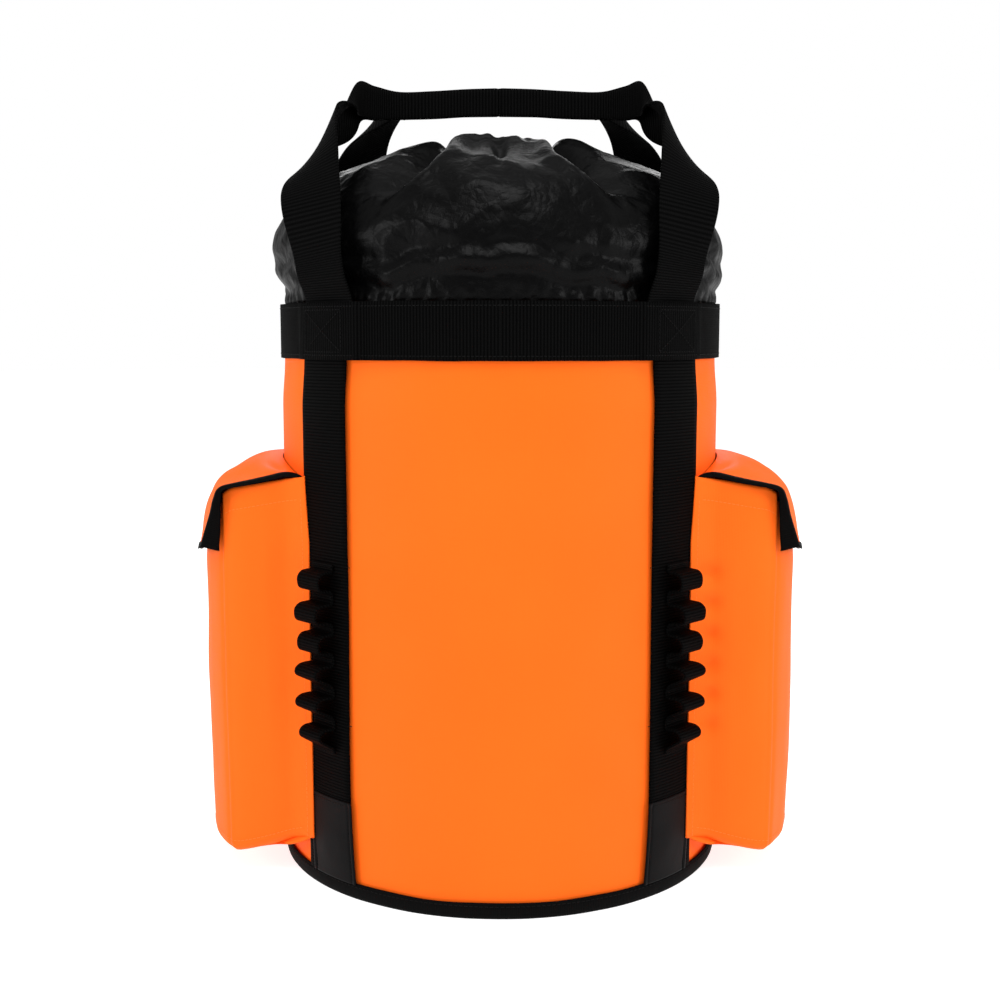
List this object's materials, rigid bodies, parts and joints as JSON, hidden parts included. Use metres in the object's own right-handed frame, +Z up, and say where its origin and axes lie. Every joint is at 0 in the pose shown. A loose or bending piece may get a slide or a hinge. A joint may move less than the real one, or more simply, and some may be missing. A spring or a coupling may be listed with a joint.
{
  "type": "hiking backpack",
  "caption": "Upright round load backpack with a gathered collar, haul handles, side pockets under flaps, gear loops and a shoulder harness",
  "frame": {"origin": "centre of the base's underside", "axes": "+Z up along the bag's round body, -Y towards its front face, +Y towards the harness on the wearer's back"},
  "size_m": [0.4992, 0.4131, 0.594],
  "materials": {
    "body_fabric": "smooth coated woven fabric, slight sheen",
    "webbing": "flat nylon webbing",
    "collar_nylon": "coated nylon, soft gloss",
    "binding_tape": "folded binding tape",
    "foot_patch": "smooth coated patch, satin",
    "base_fabric": "heavy coated fabric",
    "base_board": "plastic sheet",
    "cord": "braided cord",
    "hardware": "moulded acetal, satin",
    "spring": "spring steel",
    "hook_tape": "hook and loop tape",
    "pad_cover": "foam under a matt knitted cover"
  },
  "bodies": {
    "bag": {"body_shell": "body_fabric", "base_panel": "base_fabric", "base_board": "base_board", "base_binding": "binding_tape", "top_band": "webbing", "collar": "collar_nylon", "collar_hem": "collar_nylon", "drawcord": "cord", "lock_body": "hardware", "lock_spring": "spring", "back_pad": "pad_cover", "yoke": "webbing", "strap_front_left": "webbing", "foot_patch_front_left": "foot_patch", "strap_front_right": "webbing", "foot_patch_front_right": "foot_patch", "strap_rear_left": "webbing", "foot_patch_rear_left": "foot_patch", "strap_rear_right": "webbing", "foot_patch_rear_right": "foot_patch", "gear_loops_left": "webbing", "pocket_left": "body_fabric", "pocket_loop_tape_left": "hook_tape", "flap_root_left": "body_fabric", "web_anchor_left": "webbing", "gear_loops_right": "webbing", "pocket_right": "body_fabric", "pocket_loop_tape_right": "hook_tape", "flap_root_right": "body_fabric", "web_anchor_right": "webbing"},
    "handle_front": {"handle_front": "webbing"},
    "handle_rear": {"handle_rear": "webbing"},
    "lock_button": {"lock_button": "hardware"},
    "flap_left": {"pocket_flap_left": "body_fabric", "flap_lining_left": "base_fabric", "flap_binding_left": "binding_tape", "flap_hook_tape_left": "hook_tape"},
    "shoulder_left": {"shoulder_strap_left": "pad_cover"},
    "ladder_left": {"ladder_lock_left": "hardware"},
    "web_left": {"lower_web_left": "webbing"},
    "flap_right": {"pocket_flap_right": "body_fabric", "flap_lining_right": "base_fabric", "flap_binding_right": "binding_tape", "flap_hook_tape_right": "hook_tape"},
    "shoulder_right": {"shoulder_strap_right": "pad_cover"},
    "ladder_right": {"ladder_lock_right": "hardware"},
    "web_right": {"lower_web_right": "webbing"}
  },
  "joints": [
    {"name": "handle_front_fold", "type": "hinge", "parent": "bag", "child": "handle_front", "pos_m": [0, -0.136, 0.4508], "axis": [1, 0, 0], "range_deg": [0, 150]},
    {"name": "handle_rear_fold", "type": "hinge", "parent": "bag", "child": "handle_rear", "pos_m": [0, 0.136, 0.4508], "axis": [-1, 0, 0], "range_deg": [0, 150]},
    {"name": "lock_press", "type": "slide", "parent": "bag", "child": "lock_button", "axis": [0, 0, -1], "range_m": [0, 0.004], "stiffness_N_per_m": 400, "springref_m": -0.002, "deforming": ["lock_spring"]},
    {"name": "flap_left_lift", "type": "hinge", "parent": "bag", "child": "flap_left", "pos_m": [-0.1733, 0, 0.301], "axis": [0, 1, 0], "range_deg": [0, 85]},
    {"name": "shoulder_left_swing", "type": "hinge", "parent": "bag", "child": "shoulder_left", "pos_m": [-0.06548, 0.16207, 0.3765], "axis": [0.9272, 0.3746, 0], "range_deg": [0, 5]},
    {"name": "ladder_left_tilt", "type": "hinge", "parent": "shoulder_left", "child": "ladder_left", "pos_m": [-0.07766, 0.1922, 0.1555], "axis": [0.9272, 0.3746, 0], "range_deg": [0, 30]},
    {"name": "web_left_swing", "type": "hinge", "parent": "bag", "child": "web_left", "pos_m": [-0.06604, 0.16346, 0.053], "axis": [-0.9272, -0.3746, 0], "range_deg": [0, 11.5]},
    {"name": "flap_right_lift", "type": "hinge", "parent": "bag", "child": "flap_right", "pos_m": [0.1733, 0, 0.301], "axis": [0, -1, 0], "range_deg": [0, 85]},
    {"name": "shoulder_right_swing", "type": "hinge", "parent": "bag", "child": "shoulder_right", "pos_m": [0.06548, 0.16207, 0.3765], "axis": [0.9272, -0.3746, 0], "range_deg": [0, 5]},
    {"name": "ladder_right_tilt", "type": "hinge", "parent": "shoulder_right", "child": "ladder_right", "pos_m": [0.07766, 0.1922, 0.1555], "axis": [0.9272, -0.3746, 0], "range_deg": [0, 30]},
    {"name": "web_right_swing", "type": "hinge", "parent": "bag", "child": "web_right", "pos_m": [0.06604, 0.16346, 0.053], "axis": [-0.9272, 0.3746, 0], "range_deg": [0, 11.5]}
  ],
  "couplings": [
    {"joint": "web_left_swing", "follows": "shoulder_left_swing", "ratio": 2.2},
    {"joint": "web_right_swing", "follows": "shoulder_right_swing", "ratio": 2.2}
  ]
}
